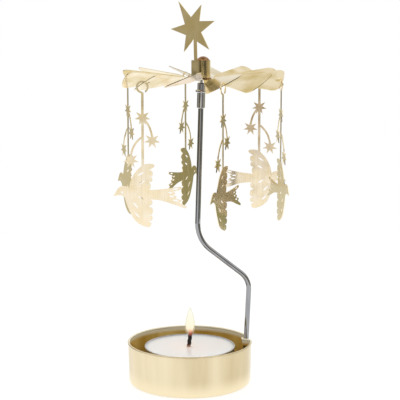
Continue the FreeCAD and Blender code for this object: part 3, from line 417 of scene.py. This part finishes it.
waxPour = {                          # sizes in mm
    "radius": 18.68,                 # it fills the foil cup
    "foot": 0.82,
    "footBevel": 0.7,
    "top": 15.2,
    "meniscus": (0.42, 0.45),        # rise up the foil, and how far it reaches in
    "wickRise": (0.35, 0.5),         # the same at the wick, whose side is at wickRadius
    "wickRadius": 0.7,
    "poolRadius": 13.5,
    "poolDepth": 0.1,
    "poolEdge": 2.2,                 # how softly its floor falls away
    "poolWaves": ((2, 0.35, 0.6), (5, 0.22, 2.1)),    # the edge's waves: how many go round, size, start
    "setHex": "#E9E9EC",
    "poolHex": "#E8E7EA",
    "setRoughness": 0.42,
    "poolRoughness": 0.28,
    "setting": (-6.0, 3.0),          # it turns from wet to set between these distances from the pool's edge
    "wobble": 0.6,                   # that edge wanders this far each way
    "wobbleMm": 6.25,
    "bloomMm": 10 / 9,               # crystals on the set wax
    "bloomDepth": 0.08,
    "soak": (4.0, 3.2, 2.8),         # how deep red, green and blue light go in
}


def waxLook(look):
    # Paraffin wax, poured and now melted in the middle: light soaks in, the set rim is satin, the pool is wet
    material, tree, out, coords = startMaterial("pouredParaffin")
    place = putNode(tree, "ShaderNodeSeparateXYZ", feeds={"Vector": (coords, "Object")})
    level = putNode(tree, "ShaderNodeCombineXYZ", feeds={"X": (place, "X"), "Y": (place, "Y")})
    fromAxis = putNode(tree, "ShaderNodeVectorMath", operation="LENGTH", feeds={0: (level, "Vector")})
    wobble = putNode(tree, "ShaderNodeTexNoise", {"Scale": 1000 / look["wobbleMm"], "Detail": 2.0},
                     {"Vector": (coords, "Object")})
    shift = putNode(tree, "ShaderNodeMath", {1: 2 * look["wobble"] * mm, 2: -look["wobble"] * mm},
                    {0: (wobble, "Fac")}, operation="MULTIPLY_ADD")
    reach = putNode(tree, "ShaderNodeMath", feeds={0: (fromAxis, "Value"), 1: (shift, "Value")}, operation="ADD")
    wet, dry = (look["poolRadius"] + step for step in look["setting"])
    hardness = putNode(tree, "ShaderNodeMapRange", {"From Min": wet * mm, "From Max": dry * mm},
                       {"Value": (reach, "Value")}, interpolation_type="SMOOTHSTEP")
    colour = putNode(tree, "ShaderNodeMix",
                     {colourA: fromHex(look["poolHex"]), colourB: fromHex(look["setHex"])},
                     {0: (hardness, "Result")}, data_type="RGBA")
    rough = putNode(tree, "ShaderNodeMapRange",
                    {"To Min": look["poolRoughness"], "To Max": look["setRoughness"]},
                    {"Value": (hardness, "Result")})
    bloom = putNode(tree, "ShaderNodeTexNoise", {"Scale": 1000 / look["bloomMm"], "Detail": 4.0},
                    {"Vector": (coords, "Object")})
    height = putNode(tree, "ShaderNodeMath", feeds={0: (bloom, "Fac"), 1: (hardness, "Result")},
                     operation="MULTIPLY")
    relief = putNode(tree, "ShaderNodeBump", {"Strength": 0.25, "Distance": look["bloomDepth"] * mm},
                     {"Height": (height, "Value")})
    wax = putNode(tree, "ShaderNodeBsdfPrincipled",
                  {"Subsurface Weight": 0.6, "Subsurface Radius": [depth * mm for depth in look["soak"]],
                   "Subsurface Scale": 1.0, "IOR": 1.44},
                  {"Base Color": (colour, colourOut), "Roughness": (rough, "Result"), "Normal": (relief, "Normal")})
    tree.links.new(wax.outputs[0], out.inputs["Surface"])
    return material


def waxFill(look):
    # a turned solid: height z(r) is the set top, minus the pool's smooth step inside poolRadius, plus e-fold
    # rises against the foil and the wick. The pool's edge wanders with the angle by two sine waves
    around = 144
    radius, foot, top = look["radius"], look["foot"], look["top"]
    angle = np.arange(around) * 2 * np.pi / around
    wander = sum(size * np.sin(count * angle + start) for count, size, start in look["poolWaves"])
    # the rings lie closest together where the wax rises, at the foil and at the wick
    radii = np.concatenate([
        np.linspace(radius, radius - 1.6, 9), np.linspace(radius - 2, 3, 34), np.linspace(2.6, 0.3, 9)])
    r = radii[:, None] * np.ones((1, around))
    pool = 1 / (1 + np.exp(-(look["poolRadius"] + wander[None, :] - r) / look["poolEdge"]))
    foilRise, foilReach = look["meniscus"]
    wickRise, wickReach = look["wickRise"]
    z = (top - look["poolDepth"] * pool + foilRise * np.exp(-(radius - r) / foilReach)
         + wickRise * np.exp(-np.maximum(r - look["wickRadius"], 0) / wickReach))
    topRings = np.stack([r * np.cos(angle), r * np.sin(angle), z], axis=-1)
    bevel = look["footBevel"]
    sides = ((4.0, foot), (bevel, foot), (0.0, foot + bevel), (0.0, 8.0))     # inset and height of each side ring
    sideRings = np.stack([
        np.stack([(radius - inset) * np.cos(angle), (radius - inset) * np.sin(angle), np.full(around, height)],
                 axis=-1)
        for inset, height in sides])
    rings = np.concatenate([sideRings, topRings])
    points = np.concatenate([[[0, 0, foot]], rings.reshape(-1, 3), [[0, 0, top + 0.1]]]) * mm
    return surfaceObject("waxFill", points, closedGrid(len(rings), around), waxLook(look))


wickCord = {                         # sizes in mm
    "foot": 0.82,
    "tip": 22.6,
    "radius": 0.92,
    "lean": 7.0,                     # degrees, towards +X, from the wax's top up
    "leanFrom": 15.2,
    "leanBend": 0.8,                 # the bend there starts and ends this far from it
    "stepBack": 0.45,                # below that it first steps this far towards -X, between these heights
    "stepHeights": (12, 15),
    "strands": 3,
    "strandDepth": 0.14,             # share of the radius
    "lay": 2.1,                      # the braid's pattern comes again every 2.1 mm
    "endShare": 0.03,                # of the length, rounded at each end
    "burnt": (15.0, 23.6),           # the heights between which the two ramps below run
    # the pale foot of the cotton is wax-soaked, and its pinkish-orange tint is a painted warm glow from the flame
    "cottonHexes": [(0.0, "#E8C9B4"), (0.14, "#B98F78"), (0.24, "#2A1F1C"), (0.7, "#120C0B"), (1.0, "#3A1208")],
    "emberHexes": [(0.0, "#000000"), (0.66, "#000000"), (0.84, "#B8441C"), (1.0, "#F08A4A")],
    "emberStrength": 0.9,
    "speckMm": 5 / 9,                # the char's edge is uneven
    "speckRise": 1.2,
    "fibreMm": 1 / 9,
    "fibreDepth": 0.05,
}


def wickLook(look):
    # Braided cotton, charred by the flame: cream where the wax soaks it, with a pinkish-orange tint there that is
    # painted flame glow, black above, a glowing end
    material, tree, out, coords = startMaterial("charredCottonBraid")
    place = putNode(tree, "ShaderNodeSeparateXYZ", feeds={"Vector": (coords, "Object")})
    speck = putNode(tree, "ShaderNodeTexNoise", {"Scale": 1000 / look["speckMm"], "Detail": 3.0},
                    {"Vector": (coords, "Object")})
    lifted = putNode(tree, "ShaderNodeMath", {1: look["speckRise"] * mm}, {0: (speck, "Fac"), 2: (place, "Z")},
                     operation="MULTIPLY_ADD")
    low, high = look["burnt"]
    share = putNode(tree, "ShaderNodeMapRange", {"From Min": low * mm, "From Max": high * mm},
                    {"Value": (lifted, "Value")})
    char = putNode(tree, "ShaderNodeValToRGB", feeds={"Fac": (share, "Result")})
    fillRamp(char, look["cottonHexes"])
    ember = putNode(tree, "ShaderNodeValToRGB", feeds={"Fac": (share, "Result")})
    fillRamp(ember, look["emberHexes"])
    fibre = putNode(tree, "ShaderNodeTexNoise", {"Scale": 1000 / look["fibreMm"], "Detail": 2.0},
                    {"Vector": (coords, "Object")})
    relief = putNode(tree, "ShaderNodeBump", {"Strength": 0.5, "Distance": look["fibreDepth"] * mm},
                     {"Height": (fibre, "Fac")})
    cotton = putNode(tree, "ShaderNodeBsdfPrincipled",
                     {"Roughness": 0.85, "Emission Strength": look["emberStrength"]},
                     {"Base Color": (char, "Color"), "Emission Color": (ember, "Color"),
                      "Normal": (relief, "Normal")})
    tree.links.new(cotton.outputs[0], out.inputs["Surface"])
    return material


def wickBraid(look):
    # a profile carried along the wick's bent line: radius = base * (1 - depth + depth * the higher of two
    # counter-turning cosines round it), times sqrt(1 - (1 - t)^2) at each end, where t goes from 0 to 1
    steps, around = 110, 40
    s = np.linspace(0, 1, steps)
    z = look["foot"] + (look["tip"] - look["foot"]) * s
    past, bend = z - look["leanFrom"], look["leanBend"]
    lean = np.where(past > bend, past, np.where(past > -bend, (past + bend) ** 2 / (4 * bend), 0))
    stepFoot, stepHead = look["stepHeights"]
    settle = np.clip((z - stepFoot) / (stepHead - stepFoot), 0, 1)
    x = np.tan(radians(look["lean"])) * lean - look["stepBack"] * settle**2 * (3 - 2 * settle)
    angle = np.arange(around) * 2 * np.pi / around
    turn = 2 * np.pi * z[:, None] / look["lay"]
    lobes = look["strands"] * angle[None, :]
    strands = np.maximum(np.cos(lobes + turn), np.cos(lobes - turn))
    fromEnd = np.clip(np.minimum(s, 1 - s) / look["endShare"], 0, 1)
    roundEnd = np.sqrt(np.clip(1 - (1 - fromEnd) ** 2, 0.02, 1))       # a point closes what is left
    depth = look["strandDepth"]
    radius = look["radius"] * (1 - depth + depth * strands) * roundEnd[:, None]
    rings = np.stack([
        x[:, None] + radius * np.cos(angle), radius * np.sin(angle), z[:, None] * np.ones((1, around))], axis=-1)
    points = np.concatenate([[[0, 0, z[0] - 0.02]], rings.reshape(-1, 3), [[x[-1], 0, z[-1] + 0.05]]]) * mm
    return surfaceObject("wickBraid", points, closedGrid(steps, around), wickLook(look))


flameShape = {                       # sizes in mm
    "foot": 18.6,
    "tip": 32.6,
    "radius": 2.2,
    "swell": 0.7,                    # under 1 it is widest below the middle
    "fullness": 0.71,                # under 1 its sides bulge
    "pinch": 0.12,                   # share of the height that its foot takes to widen
    "sway": 0.25,
    "swayTurn": 2.4,                 # radians from foot to tip
    # the glow that it casts on the wax and the tray
    "glowHex": "#FFB35A",
    "glowPower": 0.002,
    "glowSize": 2.0,
    "glowHeight": 25,
}

# a shell's colours, and how far it covers what is behind it, by share of the flame's height
mantleShell = {
    "size": 1.0,
    "rise": 0.0,
    "strength": 1.0,
    "colours": [(0.0, "#C9C4C8"), (0.2, "#DDCFC4"), (0.36, "#EEDDB6"), (0.6, "#E4E1BE"), (1.0, "#E6E5C6")],
    "cover": [(0.0, "#303030"), (0.15, "#404040"), (0.3, "#909090"), (0.5, "#B0B0B0"), (1.0, "#B8B8B8")],
}
coreShell = {
    "size": 0.78,
    "rise": 1.4,                     # its foot is this far above the flame's, and its tip half as far below
    "strength": 1.2,
    "colours": [(0.0, "#E8D6C8"), (0.24, "#FFE2B8"), (0.4, "#FFF8E2"), (1.0, "#FFFFFF")],
    "cover": [(0.0, "#000000"), (0.16, "#202020"), (0.27, "#989898"), (0.36, "#E6E6E6"), (1.0, "#EEEEEE")],
}


def flameLook(name, look, shell):
    # Burning wax vapour: it gives its own light and has no surface to shine. It is clear and greyish at its foot,
    # warm about the wick's end, and pale yellow to white above
    material, tree, out, coords = startMaterial(name)
    place = putNode(tree, "ShaderNodeSeparateXYZ", feeds={"Vector": (coords, "Object")})
    share = putNode(tree, "ShaderNodeMapRange", {"From Min": look["foot"] * mm, "From Max": look["tip"] * mm},
                    {"Value": (place, "Z")})
    colour = putNode(tree, "ShaderNodeValToRGB", feeds={"Fac": (share, "Result")})
    fillRamp(colour, shell["colours"])
    cover = putNode(tree, "ShaderNodeValToRGB", feeds={"Fac": (share, "Result")})
    fillRamp(cover, shell["cover"])
    light = putNode(tree, "ShaderNodeEmission", {"Strength": shell["strength"]}, {"Color": (colour, "Color")})
    through = putNode(tree, "ShaderNodeBsdfTransparent")
    both = putNode(tree, "ShaderNodeMixShader", feeds={0: (cover, "Color"), 1: (through, 0), 2: (light, 0)})
    tree.links.new(both.outputs[0], out.inputs["Surface"])
    return material


def flameShell(name, look, shell, material):
    # a closed teardrop round the flame's line: radius = size * sin(pi * t^swell)^fullness * (1 - e^(-t / pinch)),
    # and the line sways by sway * t * sin(swayTurn * t), where t goes from 0 at the foot to 1 at the tip
    steps, around = 64, 48
    t = np.linspace(0.004, 0.997, steps)       # a point closes each end
    low, high = look["foot"] + shell["rise"], look["tip"] - shell["rise"] * 0.5
    z = low + (high - low) * t
    bulge = np.sin(np.pi * t ** look["swell"]) ** look["fullness"]
    radius = look["radius"] * shell["size"] * bulge * (1 - np.exp(-t / look["pinch"]))
    sway = look["sway"] * np.sin(look["swayTurn"] * t) * t
    angle = np.arange(around) * 2 * np.pi / around
    rings = np.stack([
        sway[:, None] + radius[:, None] * np.cos(angle), radius[:, None] * np.sin(angle),
        z[:, None] * np.ones((1, around))], axis=-1)
    points = np.concatenate([
        [[sway[0], 0, z[0] - 0.03]], rings.reshape(-1, 3), [[sway[-1], 0, z[-1] + 0.05]]]) * mm
    return surfaceObject(name, points, closedGrid(steps, around), material)


def candleLight(look):
    glow = bpy.data.lights.new("candleGlow", "POINT")
    glow.energy = look["glowPower"]
    glow.color = fromHex(look["glowHex"])[:3]
    glow.shadow_soft_size = look["glowSize"] * mm
    lamp = bpy.data.objects.new("candleGlow", glow)
    lamp.location = (0, 0, look["glowHeight"] * mm)
    lamp.visible_glossy = False      # the flame itself is what the metals mirror
    bpy.context.scene.collection.objects.link(lamp)


wax = waxFill(waxPour)
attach(wax, "tealight")
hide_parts("tealight_wax")
wick = wickBraid(wickCord)
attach(wick, "tealight")
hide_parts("wick")
mantle = flameShell("flameMantle", flameShape, mantleShell, flameLook("yellowFlameMantle", flameShape, mantleShell))
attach(mantle, "tealight")
core = flameShell("flameCore", flameShape, coreShell, flameLook("whiteFlameCore", flameShape, coreShell))
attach(core, "tealight")
candleLight(flameShape)
print("stage: candle, wick and flame made")
